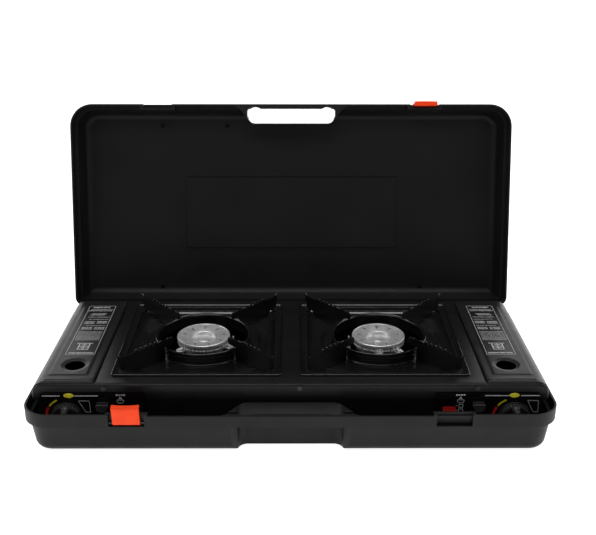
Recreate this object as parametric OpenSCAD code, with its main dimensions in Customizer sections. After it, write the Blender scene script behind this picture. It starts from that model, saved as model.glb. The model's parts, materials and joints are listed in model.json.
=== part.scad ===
// Two-burner gas camping stove that lives in a hinged plastic carry case.
// Frame: X to the right, the front faces -Y, Z up, millimetres.
// The origin is the centre of the case's underside. The lid is drawn open and the stove stands in the base.

/* [Case] */
// Width of the case over its rim band
case_w = 652; // [644:1:680]
// Depth of the case over its rim band
case_d = 300; // [298:1:320]
// Height of the case base, underside to rim
base_h = 58; // [56:1:60]
// Height of the lid, rim to top
lid_h = 52; // [52:1:60]
// Thickness of the moulded walls
wall = 2.5; // [2:0.1:2.8]
// Height of the band that runs round each rim
band_h = 17; // [16:0.5:18]
// How far the band stands proud of the wall
band_out = 5; // [4.5:0.1:5]
// Corner radius of the band seen from above, at the handle side
corner_r = 33; // [30:1:34]
// Corner radius of the band at the hinge side
rear_r = 12; // [10:1:14]
// Angle of the open lid, measured from closed
open_angle = 104.7; // [95:0.1:110]

/* [Handle and latches] */
// Width of the hand slot
slot_w = 130; // [110:1:132]
// Depth of the hand slot, front to back
slot_d = 21.5; // [18:0.5:21.5]
// Thickness of the handle bar in front of the slot
bar_t = 6.5; // [5:0.5:7]
// Distance of each latch from the centre
latch_x = 197; // [190:1:205]
// Width of a latch
latch_w = 33; // [28:1:36]
// Outward lean of a latch that is not snapped shut
latch_lean = 6; // [5:0.5:8]

/* [Stove] */
// Height of the deck's top face
deck_z = 80; // [79:0.5:80.5]
// Front edge of the deck
deck_front = -115.6; // [-116:0.1:-115]
// Rear edge of the deck
deck_rear = 135; // [134:0.5:136]
// Half width of the deck between the cartridge covers
deck_half = 240; // [238:0.5:241]
// Half width of the stove over its rounded shoulders
stove_half = 318; // [317:0.5:318.5]
// Radius of those shoulders
shoulder_r = 15; // [13:0.5:16]
// Thickness of the pressed steel sheet
sheet = 1.2; // [1:0.1:1.3]

/* [Burners] */
// Side of the square drip pan
pan_w = 212; // [206:1:214]
// Distance of each burner from the centre
burner_x = 118; // [116:1:120]
// Burner centre, front to back
burner_y = 11.5; // [10:0.5:13]
// Outside diameter of the pan's ring
ring_d = 132; // [126:1:136]
// Diameter of the burner cap
cap_d = 71; // [66:1:72]
// Highest point of the pan support fins
fin_top = 104.3; // [102:0.1:104.6]

/* [Controls] */
// Distance of each knob from the centre
knob_x = 276; // [274:1:278]
// Height of the knob axis
knob_z = 36; // [35:0.5:38]
// Diameter of a knob
knob_d = 42; // [36:1:42]
// Distance of each cartridge lever from the centre
lever_x = 231; // [230:0.5:231]
// Travel of a cartridge lever
lever_travel = 20; // [14:1:20]

/* [Hidden] */
$fn = 72;

half_w = case_w / 2;
half_d = case_d / 2;
eps = 0.01;
overlap = 1;                                  // how far joined solids run into each other

// Case section
wall_draft = 4;                               // inward lean of the wall between band and floor
edge_r = 12;                                  // radius between wall and floor
edge_in = band_out + wall_draft + edge_r;     // from the band's face to where the floor is flat
rim_gap = 0.5;                                // between the closed lid's rim and the base's rim
rim_drop = 2;                                 // the base's front rim is lower between the latches
rim_z = base_h + rim_gap / 2;                 // the hinge's height, half way between both rims

// Hinge
hinge_x = 225;
hinge_y = half_d + 5;
barrel_r = 4.5;
pin_r = 1.6;
base_knuckle = 28;
lid_knuckle = 16;
knuckle_gap = 1;
web_h = 8.5;                                  // web that joins a knuckle to the band

// Handle recess: an S-curve on each side of a flat
recess_out = 80;                              // half width at the mouth
recess_in = 52;                               // half width of the flat back
slot_far = -half_d + bar_t + slot_d;          // rear edge of the hand slot
recess_mouth = -half_d + band_out - 1;
recess_steps = 8;
plateau = [323, 108, 2];                      // raised field inside the lid
plateau_y = 12;

// Latches
latch_low = base_h - 14.2;                    // lower end of a latch
latch_high = base_h + 12.5;                   // upper end
latch_face = -half_d - 0.5;
latch_t = 3.5;
latch_pivot = [-half_d + 2.4, base_h - 12];   // in Y and Z
latch_barrel = 2.3;
latch_pin_r = 1.25;
pocket_w = latch_w + 10;
cheek = 4;                                    // plastic on each side of a pocket
pocket_floor = 1.3;                           // plastic under a pocket
pocket_back = -half_d + band_out;
catch_back = pocket_back + 1.2;
ridge_out = 2;                                // ridge that a latch hooks behind
ridge_z = [7, 3.5];                           // its lower and upper edge below the rim
hook_t = 4.3;
hook_in = 2.6;

// Stove body
sheet_gap = 0.2;                              // between sheets that lap
body_half = 312;
body_low = 7.8;
body_wall_top = 60;
body_rear = deck_rear - sheet - sheet_gap;
body_front = deck_front + 2 * sheet + 2 * sheet_gap;
panel_front = deck_front + sheet + sheet_gap;
panel_low = 12;
panel_lap = 1.4;                              // the panel's top edge lies this far below the deck's face
flange_low = deck_z - 10;
flange_end = body_half - 4;                   // the flange's ends reach further down outside this
front_r = shoulder_r - 1;                     // the front panel's upper corners
foot_r = 8;
foot_x = 270;
foot_low = wall + sheet_gap;

// Cartridge covers
cover_in = deck_half + 1.5;
cover_top = deck_z + 2;
cover_front = panel_front + sheet + 0.4;
cover_rear = deck_rear - 4.8;
shoulder_x = stove_half - shoulder_r;
shoulder_z = cover_top - shoulder_r;
cover_axis = [313, 69];                       // in X and Z
cover_pin_r = 1.5;
cover_pin_gap = 0.05;
ear_y = body_rear - sheet - 1;                // rear ears that carry the covers' pins
ear_t = 2;
finger_hole = [274.5, -70];
finger_hole_d = 25;

// Pans
pan_rim_z = deck_z + sheet_gap + sheet;       // top of the pan's flange
deck_hole = pan_w - 18;                       // the deck's square opening under each pan
dish_w = pan_w - 24;
dish_r = 12;
pan_corner = 4;
dish_z = pan_rim_z - 9.7;
ring_top = pan_rim_z + 6.4;
ring_r = ring_d / 2;
fin_t = 1.6;
fin_flat = fin_top - 3.3;

// Front screws and fascias
screw_x = [-229, 11, 229];
screw_z = deck_z - 5;
screw_r = 1.6;
screw_head_r = 3;
fascia_in = 177;
fascia_out = 307;
fascia_low = 22;
fascia_t = 2.4;
fascia_face = panel_front - sheet_gap - fascia_t;

// Knobs
knob_back = fascia_face - 0.4;
knob_len = 18.5;
spindle_r = 4;
spindle_hole = spindle_r + 1.5;

// Cartridge levers. A slanted slot in the lever's cam plate moves the carriage's pin.
lever_top = 57;
lever_tab_r = 7;
lever_slot_w = 7;
lever_slot_h = lever_travel + 11;
lever_slot_mid = lever_top - 1 - lever_slot_h / 2;
cam_ratio = 0.5;                              // carriage travel to lever travel
cam_x = 226;
cam_t = 2;
cam_pin = [-96.5, 36];                        // in Y and Z with the lever up
cam_pin_r = 2;
rail = [243, 250];                            // the carriage's rail, in X

// Gas train, given for the right side
bay_x = 276;                                  // cartridge axis
bay_z = 44;
regulator_r = 17;
regulator_rear = -86;
regulator_front = panel_front + sheet + 4.6;
tube_in = [225, -84, 52];                     // inlet of the mixing tube
tube_dir = [tube_in[0] - burner_x, tube_in[1] - burner_y];
tube_angle = atan2(tube_dir[1], tube_dir[0]);
tube_len = norm(tube_dir);
tube_r = 8;
pipe_r = 3;
pipe_path = [[258, -97, 52], [243, -97, 52], [229, -87.6, 52]];
bowl_low = 40.5;
lead_r = 1.3;
lead_path = [[253.9, -90, 19], [236, -90, 19], [222, -82, 14], [150, -40, 14], [78, -8, 14],
             [78, 11.5, 19], [78, 11.5, 29.8]];
electrode_x = 78;

// Points of an arc, and of an S-curve with level ends
function arc(c, r, a0, a1, n) =
    [for (i = [0:n]) let (a = a0 + (a1 - a0) * i / n) [c[0] + r * cos(a), c[1] + r * sin(a)]];
function s_curve(p, q, n) =
    [for (i = [0:n]) let (k = i / n)
        [p[0] + (q[0] - p[0]) * k, p[1] + (q[1] - p[1]) * (1 - cos(180 * k)) / 2]];

module box(low, high) translate(low) cube(high - low);

module rounded_square(w, d, r) {
    square([w - 2 * r, d], center = true);
    square([w, d - 2 * r], center = true);
    for (x = [-1, 1], y = [-1, 1]) translate([x * (w / 2 - r), y * (d / 2 - r)]) circle(r);
}

module along_y(x, y0, y1, z, r) translate([x, y0, z]) rotate([-90, 0, 0]) cylinder(h = y1 - y0, r = r);
module along_x(x0, x1, y, z, r) translate([x0, y, z]) rotate([0, 90, 0]) cylinder(h = x1 - x0, r = r);

// A round bar through a list of points
module bar_path(path, r) {
    for (i = [0:len(path) - 2]) {
        step = path[i + 1] - path[i];
        translate(path[i]) rotate([0, acos(step[2] / norm(step)), atan2(step[1], step[0])])
            cylinder(h = norm(step), r = r);
    }
    for (i = [1:len(path) - 2]) translate(path[i]) sphere(r);
}

// A soft lead swept along a list of points: eight sides, one ring a point
function unit(v) = v / norm(v);
function path_dir(p, i) =
    i == 0 ? unit(p[1] - p[0]) : i == len(p) - 1 ? unit(p[i] - p[i - 1])
    : unit(unit(p[i + 1] - p[i]) + unit(p[i] - p[i - 1]));
module lead_path_tube(path, r) {
    sides = 8;
    last = len(path) - 1;
    aside = [1, 1, -1];                       // parallel to no stretch of the lead
    polyhedron(
        points = [for (i = [0:last], j = [0:sides - 1])
            let (t = path_dir(path, i), n = unit(cross(t, aside)), b = cross(t, n), a = 360 * j / sides)
            path[i] + r * (cos(a) * n + sin(a) * b)],
        faces = concat(
            [[for (j = [0:sides - 1]) j]],
            [for (i = [0:last - 1], j = [0:sides - 1]) let (k = (j + 1) % sides)
                [i * sides + j, (i + 1) * sides + j, (i + 1) * sides + k, i * sides + k]],
            [[for (j = [sides - 1:-1:0]) last * sides + j]]));
}

// Left parts are the right ones mirrored
module left() mirror([1, 0, 0]) children();

// ---------------------------------------------------------------- case

// Section of the case: x = 0 is the band's face, the floor is at y = 0. With t it is the hollow's section.
module case_section(h, t) {
    top = t > 0 ? h + 1 : h;
    polygon(concat(
        [[-corner_r, t]], arc([-edge_in, edge_r], edge_r - t, -90, 0, 6),
        [[-band_out - t, h - band_h + t], [-t, h - band_h + t], [-t, top], [-corner_r, top]]));
}

// Plan of one rear corner, its two outer faces moved in by inset and joined with radius r
module rear_plan(inset, r) {
    low = [half_w - corner_r, half_d - corner_r];
    high = [half_w - inset, half_d - inset];
    polygon(concat([low, [high[0], low[1]]], arc(high - [r, r], r, 0, 90, 8), [[low[0], high[1]]]));
}

// Both walls' sections run into the corner and meet there
module rear_corner(h, t) intersection() {
    translate([half_w, half_d, 0]) rotate([90, 0, 0]) linear_extrude(corner_r) case_section(h, t);
    translate([half_w - corner_r, half_d, 0]) rotate([90, 0, 90])
        linear_extrude(corner_r) case_section(h, t);
    union() {
        translate([0, 0, h - band_h + t]) linear_extrude(band_h + 1) rear_plan(t, rear_r - t);
        linear_extrude(h - band_h + t) rear_plan(band_out + t, rear_r - band_out - t);
    }
}

// One half of the case as a solid, or with t = wall its hollow
module case_solid(h, t) {
    for (side = [-1, 1]) {
        rotate([0, 0, 90 - 90 * side]) translate([half_w, 0, 0]) rotate([90, 0, 0])
            linear_extrude(case_d - 2 * corner_r, center = true) case_section(h, t);
        rotate([0, 0, 90 * side]) translate([half_d, 0, 0]) rotate([90, 0, 0])
            linear_extrude(case_w - 2 * corner_r, center = true) case_section(h, t);
        translate([side * (half_w - corner_r), corner_r - half_d, 0]) rotate([0, 0, -135 + 45 * side])
            rotate_extrude(angle = 90) translate([corner_r, 0]) case_section(h, t);
    }
    rear_corner(h, t);
    mirror([1, 0, 0]) rear_corner(h, t);
    box([corner_r - half_w, corner_r - half_d, t],
        [half_w - corner_r, half_d - corner_r, t > 0 ? h + 1 : h]);
}

module tray(h) difference() {
    case_solid(h, 0);
    case_solid(h, wall);
}

// Plan of the recess behind the handle bar, grown by t
module recess_plan(t) {
    polygon(concat(
        [[-recess_out - t, -half_d - 10]],
        s_curve([-recess_out - t, recess_mouth], [-recess_in - t / 2, slot_far + t], recess_steps),
        s_curve([recess_in + t / 2, slot_far + t], [recess_out + t, recess_mouth], recess_steps),
        [[recess_out + t, -half_d - 10]]));
}

module slot_plan() {
    far_r = 12;
    near_r = 4;
    near = -half_d + bar_t;
    translate([-slot_w / 2, near + near_r]) square([slot_w, slot_d - near_r - far_r]);
    translate([-slot_w / 2 + near_r, near]) square([slot_w - 2 * near_r, slot_d / 2]);
    translate([-slot_w / 2 + far_r, near]) square([slot_w - 2 * far_r, slot_d]);
    for (x = [-1, 1]) {
        translate([x * (slot_w / 2 - near_r), near + near_r]) circle(near_r);
        translate([x * (slot_w / 2 - far_r), slot_far - far_r]) circle(far_r);
    }
}

// Cheeks, back wall and pin bore of the pocket that holds a latch, at X = -latch_x
module pocket_walls(h) {
    reach = pocket_w / 2 + cheek;
    box([-latch_x - reach, -half_d, h - band_h], [-latch_x + reach, pocket_back + wall, h]);
}

module pocket_cut(h) {
    pin_z = h - base_h + latch_pivot[1];
    box([-latch_x - pocket_w / 2, -half_d - 1, h - band_h + pocket_floor],
        [-latch_x + pocket_w / 2, pocket_back, h + 1]);
    along_x(-latch_x - pocket_w, -latch_x + pocket_w, latch_pivot[0], pin_z, latch_pin_r + 0.02);
}

// The notch that the other half's latch snaps into, at X = +latch_x
module catch_walls(h) {
    reach = pocket_w / 2 + cheek;
    box([latch_x - reach, -half_d, h - band_h], [latch_x + reach, catch_back + wall, h]);
}

module catch_cut(h) {
    reach = pocket_w / 2;
    difference() {
        box([latch_x - reach, -half_d - 1, h - band_h + pocket_floor], [latch_x + reach, catch_back, h + 1]);
        box([latch_x - reach - 1, catch_back - ridge_out, h - ridge_z[0]],
            [latch_x + reach + 1, catch_back + 1, h - ridge_z[1]]);
    }
}

// One half of the case with its handle, latch pocket and catch; the floor is down
module case_half(h) {
    difference() {
        union() {
            difference() {
                tray(h);
                translate([0, 0, -1]) linear_extrude(h + 2) recess_plan(0);
            }
            intersection() {
                case_solid(h, 0);
                difference() {
                    linear_extrude(h) recess_plan(wall);
                    translate([0, 0, -1]) linear_extrude(h - band_h + 1) recess_plan(0);
                }
            }
            pocket_walls(h);
            catch_walls(h);
        }
        translate([0, 0, -1]) linear_extrude(h + 2) slot_plan();
        pocket_cut(h);
        catch_cut(h);
    }
}

// Hinge knuckles: one barrel with a web down to the band below it
module knuckle(x0, x1, bore) {
    difference() {
        union() {
            along_x(x0, x1, hinge_y, rim_z, barrel_r);
            box([x0, half_d - overlap, rim_z - web_h], [x1, hinge_y, rim_z - rim_gap]);
        }
        along_x(x0 - 1, x1 + 1, hinge_y, rim_z, bore);
    }
}

module closed_to_open() {
    translate([0, hinge_y, rim_z]) rotate([-open_angle, 0, 0]) translate([0, -hinge_y, -rim_z]) children();
}

module flip_to_lid() translate([0, 0, 2 * rim_z]) mirror([0, 0, 1]) children();

module case_base() color("#1c1b1c") {
    difference() {
        case_half(base_h);
        box([-latch_x + pocket_w / 2 + cheek, -half_d - 1, base_h - rim_drop],
            [latch_x - pocket_w / 2 - cheek, -half_d + bar_t + 1, base_h + 1]);
    }
    for (x = [-1, 1])
        translate([x * hinge_x, 0, 0]) knuckle(-base_knuckle / 2, base_knuckle / 2, pin_r + 0.02);
}

module case_lid() color("#1c1b1c") closed_to_open() flip_to_lid() {
    // here the lid lies upside down with its floor at the height of its top
    translate([0, 0, base_h - lid_h]) mirror([1, 0, 0]) case_half(lid_h);
    translate([-plateau[0] / 2, plateau_y - plateau[1] / 2, base_h - lid_h + wall - overlap])
        cube([plateau[0], plateau[1], plateau[2] + overlap]);
    for (x = [-1, 1], side = [-1, 1])
        translate([x * hinge_x + side * (base_knuckle / 2 + knuckle_gap + lid_knuckle / 2), 0, 0])
            knuckle(-lid_knuckle / 2, lid_knuckle / 2, pin_r + 0.06);
}

module hinge_pins() color("silver") {
    reach = base_knuckle / 2 + knuckle_gap + lid_knuckle;
    for (x = [-1, 1]) along_x(x * hinge_x - reach, x * hinge_x + reach, hinge_y, rim_z, pin_r);
}

// A latch snapped shut at X = -latch_x on the base
module latch() translate([-latch_x, 0, 0]) {
    inner = latch_face + latch_t;
    half = latch_w / 2;
    difference() {
        union() {
            box([-half, latch_face, latch_low + 1], [half, inner, latch_high]);
            box([-half, inner - overlap, latch_high - hook_t], [half, inner + hook_in, latch_high]);
            along_x(-half, half, latch_pivot[0], latch_pivot[1], latch_barrel);
        }
        along_x(-latch_w, latch_w, latch_pivot[0], latch_pivot[1], latch_pin_r + 0.05);
    }
}

module lean_out() {
    translate([0, latch_pivot[0], latch_pivot[1]]) rotate([latch_lean, 0, 0])
        translate([0, -latch_pivot[0], -latch_pivot[1]]) children();
}

module latch_pin() {
    reach = pocket_w / 2 + cheek - 0.5;
    along_x(-latch_x - reach, -latch_x + reach, latch_pivot[0], latch_pivot[1], latch_pin_r);
}

module base_latch() color("#e23e14") lean_out() latch();
module base_latch_pin() color("silver") latch_pin();
module lid_latch() color("#e23e14") closed_to_open() flip_to_lid() mirror([1, 0, 0]) lean_out() latch();
module lid_latch_pin() color("silver") closed_to_open() flip_to_lid() mirror([1, 0, 0]) latch_pin();

// ---------------------------------------------------------------- stove body

module body_tray() color("#151515") {
    mid_y = (body_rear + body_front) / 2;
    depth = body_rear - body_front;
    corner = 14;
    ear_mid = 298;
    ear_half = 19;
    ear_low = body_wall_top - 10;
    difference() {
        union() {
            difference() {
                translate([0, mid_y, body_low]) linear_extrude(body_wall_top - body_low)
                    rounded_square(2 * body_half, depth, corner);
                translate([0, mid_y, body_low + sheet]) linear_extrude(body_wall_top)
                    rounded_square(2 * (body_half - sheet), depth - 2 * sheet, corner - sheet);
                box([-body_half - 1, body_front - 1, body_low + sheet],
                    [body_half + 1, body_front + corner, deck_z]);
            }
            for (x = [-ear_mid, ear_mid])
                box([x - ear_half, ear_y, ear_low], [x + ear_half, ear_y + ear_t, cover_axis[1] + 4]);
        }
        for (x = [-1, 1])
            along_y(x * cover_axis[0], ear_y - 5, ear_y + 5, cover_axis[1], cover_pin_r + cover_pin_gap);
    }
}

module stove_feet() color("#222222") {
    for (x = [-1, 1], y = [-85, 105])
        translate([x * foot_x, y, foot_low]) cylinder(h = body_low - foot_low, r = foot_r);
}

// Outline of the front panel, and of the deck's front flange above it
module front_outline(low, step_z, reach, r) {
    right = concat([[body_half - 1, low], [body_half - 1, step_z], [reach, step_z]],
                   arc([reach - r, deck_z - r], r, 0, 90, 8));
    polygon(concat(right, [for (i = [len(right) - 1:-1:0]) [-right[i][0], right[i][1]]]));
}

module front_panel() color("#121212") difference() {
    translate([0, panel_front + sheet, 0]) rotate([90, 0, 0]) linear_extrude(sheet) difference() {
        translate([0, -panel_lap])
            front_outline(panel_low + panel_lap, body_wall_top, stove_half - 0.5, front_r);
        for (x = [-1, 1]) {
            translate([x * lever_x, lever_slot_mid]) square([lever_slot_w, lever_slot_h], center = true);
            translate([x * knob_x, knob_z]) circle(spindle_hole);
        }
    }
    for (x = [-1, 1])
        along_y(x * cover_axis[0], panel_front - 1, panel_front + 3, cover_axis[1],
                cover_pin_r + cover_pin_gap);
    for (x = screw_x) along_y(x, panel_front - 1, panel_front + 3, screw_z, screw_r + 0.05);
}

module stove_deck() color("#101010") difference() {
    side_flange = [8, 14];                    // how far back it starts, and its depth
    union() {
        box([-deck_half, deck_front, deck_z - sheet], [deck_half, deck_rear, deck_z]);
        for (x = [-1, 1]) translate([x * (deck_half - sheet / 2), 0, 0])
            box([-sheet / 2, deck_front + side_flange[0], deck_z - side_flange[1]],
                [sheet / 2, deck_rear, deck_z]);
        box([-deck_half, deck_rear - sheet, body_wall_top - 4], [deck_half, deck_rear, deck_z]);
        translate([0, deck_front + sheet, 0]) rotate([90, 0, 0]) linear_extrude(sheet) difference() {
            front_outline(body_wall_top, body_wall_top, stove_half - 0.5, front_r);
            translate([-flange_end, body_wall_top - 1])
                square([2 * flange_end, flange_low - body_wall_top + 1]);
        }
    }
    for (x = [-1, 1]) translate([x * burner_x, burner_y, deck_z - 5]) linear_extrude(10)
        rounded_square(deck_hole, deck_hole, 15);
    for (x = screw_x) along_y(x, deck_front - 1, deck_front + 3, screw_z, screw_r + 0.05);
}

module panel_screws() color("silver") for (x = screw_x) {
    along_y(x, deck_front - 1.3, deck_front - 0.05, screw_z, screw_head_r);
    along_y(x, deck_front - 0.1, deck_front + 6, screw_z, screw_r);
}

module fascia() {
    high = flange_low - 0.6;
    translate([0, panel_front - sheet_gap, 0]) rotate([90, 0, 0]) linear_extrude(fascia_t) difference() {
        translate([(fascia_in + fascia_out) / 2, (fascia_low + high) / 2])
            rounded_square(fascia_out - fascia_in, high - fascia_low, 5);
        translate([lever_x, lever_slot_mid]) square([lever_slot_w, lever_slot_h], center = true);
        translate([knob_x, knob_z]) circle(spindle_hole);
    }
}
module right_fascia() color("#0c0c0c") fascia();
module left_fascia() color("#0c0c0c") left() fascia();

module heat_shield() {
    x0 = deck_half - 2 * sheet - sheet_gap;
    x1 = x0 + sheet;
    front = -106;
    notch = cam_pin_r + 0.7;
    difference() {
        box([x0, front, body_low + sheet + sheet_gap],
            [x1, body_rear - sheet - sheet_gap, deck_z - sheet - sheet_gap]);
        along_x(x0 - 1, x1 + 1, -93.6, pipe_path[0][2], 2 * pipe_r);
        along_x(x0 - 1, x1 + 1, lead_path[1][1], lead_path[1][2], 3 * lead_r);
        box([x0 - 1, front - 1, cam_pin[1] - notch], [x1 + 1, cam_pin[0] + notch, cam_pin[1] + notch]);
    }
}
module right_heat_shield() color("#262626") heat_shield();
module left_heat_shield() color("#262626") left() heat_shield();

// ---------------------------------------------------------------- cartridge covers

// Region under the cover's outer face, shrunk by t
module cover_region(t) {
    polygon(concat(
        [[cover_in + t, 40], [stove_half - t, 40]],
        arc([shoulder_x, shoulder_z], shoulder_r - t, 0, 90, 10),
        [[cover_in + t, cover_top - t]]));
}

// Everything in the section below z, over a stretch of X
module below(reach, z) translate([reach[0] - 1, 0]) square([reach[1] - reach[0] + 2, z]);

module cover() {
    skirt_z = shoulder_z - 1;
    flange_z = cover_top - 9;
    difference() {
        union() {
            translate([0, cover_rear, 0]) rotate([90, 0, 0])
                linear_extrude(cover_rear - cover_front) difference() {
                    cover_region(0);
                    cover_region(sheet);
                    below([cover_in, stove_half], skirt_z);
                    below([cover_in, cover_in + 20], flange_z);
                }
            for (y = [cover_front, cover_rear - sheet])
                translate([0, y + sheet, 0]) rotate([90, 0, 0]) linear_extrude(sheet) difference() {
                    cover_region(sheet / 2);
                    below([cover_in, shoulder_x], flange_z);
                    below([cover_in, stove_half], skirt_z - 3);
                }
        }
        for (y = [cover_front, cover_rear - sheet])
            along_y(cover_axis[0], y - 1, y + sheet + 1, cover_axis[1], cover_pin_r + 0.02);
        translate([finger_hole[0], finger_hole[1], cover_top - 5]) cylinder(h = 10, d = finger_hole_d);
    }
}
module right_cover() color("#2a2a2a") cover();
module left_cover() color("#2a2a2a") left() cover();

module cover_pins() {
    along_y(cover_axis[0], panel_front + 0.1, cover_front + sheet + 2, cover_axis[1], cover_pin_r);
    along_y(cover_axis[0], cover_rear - sheet - 2, ear_y + ear_t, cover_axis[1], cover_pin_r);
}
module right_cover_pins() color("silver") cover_pins();
module left_cover_pins() color("silver") left() cover_pins();

// ---------------------------------------------------------------- pans and burners

module dish_square(t) rounded_square(dish_w - 2 * t, dish_w - 2 * t, dish_r - t);

module pan() translate([burner_x, burner_y, 0]) {
    lip_r = 1.2;
    difference() {
        translate([0, 0, pan_rim_z - sheet]) linear_extrude(sheet) rounded_square(pan_w, pan_w, pan_corner);
        translate([0, 0, pan_rim_z - 5]) linear_extrude(10) dish_square(sheet);
    }
    difference() {
        translate([0, 0, dish_z - sheet]) linear_extrude(pan_rim_z - dish_z) dish_square(0);
        translate([0, 0, dish_z]) linear_extrude(20) dish_square(sheet);
        translate([0, 0, dish_z - 5]) cylinder(h = 20, r = ring_r - sheet);
    }
    difference() {
        translate([0, 0, dish_z - sheet]) cylinder(h = ring_top - dish_z + sheet, r = ring_r);
        translate([0, 0, dish_z - 5]) cylinder(h = 40, r = ring_r - sheet);
    }
    rotate_extrude() translate([ring_r + 0.2, ring_top]) circle(lip_r);
}
module right_pan() color("#0e0e0e") pan();
module left_pan() color("#0e0e0e") left() pan();

// Four serrated fins that stand on the pan's diagonals
module pan_fins() translate([burner_x, burner_y, 0]) {
    tip = 138.5;
    inner = 50;
    by_ring = ring_r + 2.2;
    over_ring = ring_top + 1.5;
    on_floor = dish_z + 0.05;
    on_flange = pan_rim_z + 0.3;
    teeth = 5;
    tooth_start = 88;
    tooth = 6;
    tooth_deep = 2;
    climb = 0.6;                              // each tooth stands this much higher than the one inside it
    for (a = [45:90:315]) rotate([0, 0, a]) rotate([90, 0, 0]) translate([0, 0, -fin_t / 2])
        linear_extrude(fin_t) polygon(concat(
            [[by_ring, on_floor], [118, on_floor], [126, on_flange], [133, on_flange], [tip, fin_top]],
            [for (i = [teeth - 1:-1:0]) each [
                [tooth_start + tooth * (i + 1), fin_flat + climb * i],
                [tooth_start + tooth * (i + 0.5), fin_flat - tooth_deep + climb * i]]],
            [[tooth_start - 2, fin_flat], [inner + 2, fin_flat], [inner, fin_flat - 3],
             [inner, over_ring + 1.5], [inner + 6, over_ring], [by_ring, over_ring]]));
}
module right_pan_fins() color("#0e0e0e") pan_fins();
module left_pan_fins() color("#0e0e0e") left() pan_fins();

module burner_cap() translate([burner_x, burner_y, 0]) {
    r = cap_d / 2;
    seat = 76.2;
    ports = 9;
    port_r = 1.8;
    difference() {
        rotate_extrude() polygon([
            [0, seat + 1.4], [27, seat + 1.4], [27, seat - 3.7], [29.2, seat - 3.7], [29.2, seat], [r, seat],
            [r, seat + 5.8], [r - 2, seat + 8.4], [r - 9, seat + 9.3], [14, seat + 6.8], [11, seat + 4.4],
            [0, seat + 4]]);
        for (i = [0:ports - 1])
            rotate([0, 0, 360 / ports * i]) translate([20, 0, seat]) cylinder(h = 20, r = port_r);
    }
}
module right_burner_cap() color("#d8d8d8") burner_cap();
module left_burner_cap() color("#d8d8d8") left() burner_cap();

module burner_bowl() translate([burner_x, burner_y, 0]) difference() {
    rotate_extrude() polygon([
        [0, bowl_low], [13, bowl_low], [13, 62], [31, 69], [31, 76], [29.5, 76], [29.5, 70], [12, 63.4],
        [9, 62.5], [9, bowl_low + 1.5], [0, bowl_low + 1.5]]);
    translate([0, 0, tube_in[2]]) rotate([0, 90, tube_angle]) cylinder(h = 40, r = tube_r + 0.05);
}
module right_burner_bowl() color("#b8b8b8") burner_bowl();
module left_burner_bowl() color("#b8b8b8") left() burner_bowl();

module mixing_tube() translate([burner_x, burner_y, tube_in[2]]) rotate([0, 90, tube_angle]) {
    start = 9.2;
    bell = 10;
    difference() {
        union() {
            translate([0, 0, start]) cylinder(h = tube_len - start, r = tube_r);
            translate([0, 0, tube_len - bell]) cylinder(h = bell, r1 = tube_r, r2 = tube_r + 2);
        }
        translate([0, 0, start - 1]) cylinder(h = tube_len, r = tube_r - 1);
        translate([0, 0, tube_len - bell]) cylinder(h = bell + eps, r1 = tube_r - 1, r2 = tube_r + 1);
        translate([-tube_r - 5, -2.5, tube_len - 26]) cube([2 * tube_r + 10, 5, 14]);
    }
}
module right_mixing_tube() color("#9a9a9a") mixing_tube();
module left_mixing_tube() color("#9a9a9a") left() mixing_tube();

module burner_bracket() translate([burner_x, burner_y, 0]) {
    reach = 45;
    half = 12;
    top = bowl_low - 0.1;
    low = body_low + sheet + 0.1;
    difference() {
        union() {
            box([-reach, -half, top - 1.4], [reach, half, top]);
            for (x = [-reach, reach - 1.4]) box([x, -half, low], [x + 1.4, half, top]);
            for (x = [-reach - 10, reach - 1.4]) box([x, -half, low], [x + 11.4, half, low + 1.4]);
        }
        translate([electrode_x - burner_x, 0, top - 5]) cylinder(h = 10, r = 3.1);
    }
}
module right_burner_bracket() color("#8c8c8c") burner_bracket();
module left_burner_bracket() color("#8c8c8c") left() burner_bracket();

// ---------------------------------------------------------------- gas and ignition

module gas_pipe() {
    bar_path(pipe_path, pipe_r);
    translate(pipe_path[2]) rotate([0, 90, tube_angle]) translate([0, 0, -4]) cylinder(h = 9, r = 4.2);
}
module right_gas_pipe() color("#b08d57") gas_pipe();
module left_gas_pipe() color("#b08d57") left() gas_pipe();

module regulator() difference() {
    key = [3, 4];                             // half width and height of the key that enters the collar
    nozzle_r = 5;
    nozzle_len = 7;
    key_z = bay_z + regulator_r;
    union() {
        along_y(bay_x, regulator_front, regulator_rear, bay_z, regulator_r);
        along_y(bay_x, regulator_rear - overlap, regulator_rear + nozzle_len, bay_z, nozzle_r);
        box([bay_x - key[0], regulator_rear - 6, key_z - 2],
            [bay_x + key[0], regulator_rear + 4, key_z + key[1]]);
        along_x(pipe_path[0][0], bay_x, pipe_path[0][1], pipe_path[0][2], 5);
    }
    along_y(knob_x, regulator_front - 1, regulator_front + 10, knob_z, spindle_r + 0.06);
    along_y(bay_x, regulator_rear - 4, regulator_rear + nozzle_len + 1, bay_z, 1.5);
}
module right_regulator() color("#a9a9a9") regulator();
module left_regulator() color("#a9a9a9") left() regulator();

module valve_spindle() along_y(knob_x, knob_back - 13, panel_front + sheet + 14, knob_z, spindle_r);
module right_valve_spindle() color("silver") valve_spindle();
module left_valve_spindle() color("silver") left() valve_spindle();

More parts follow.
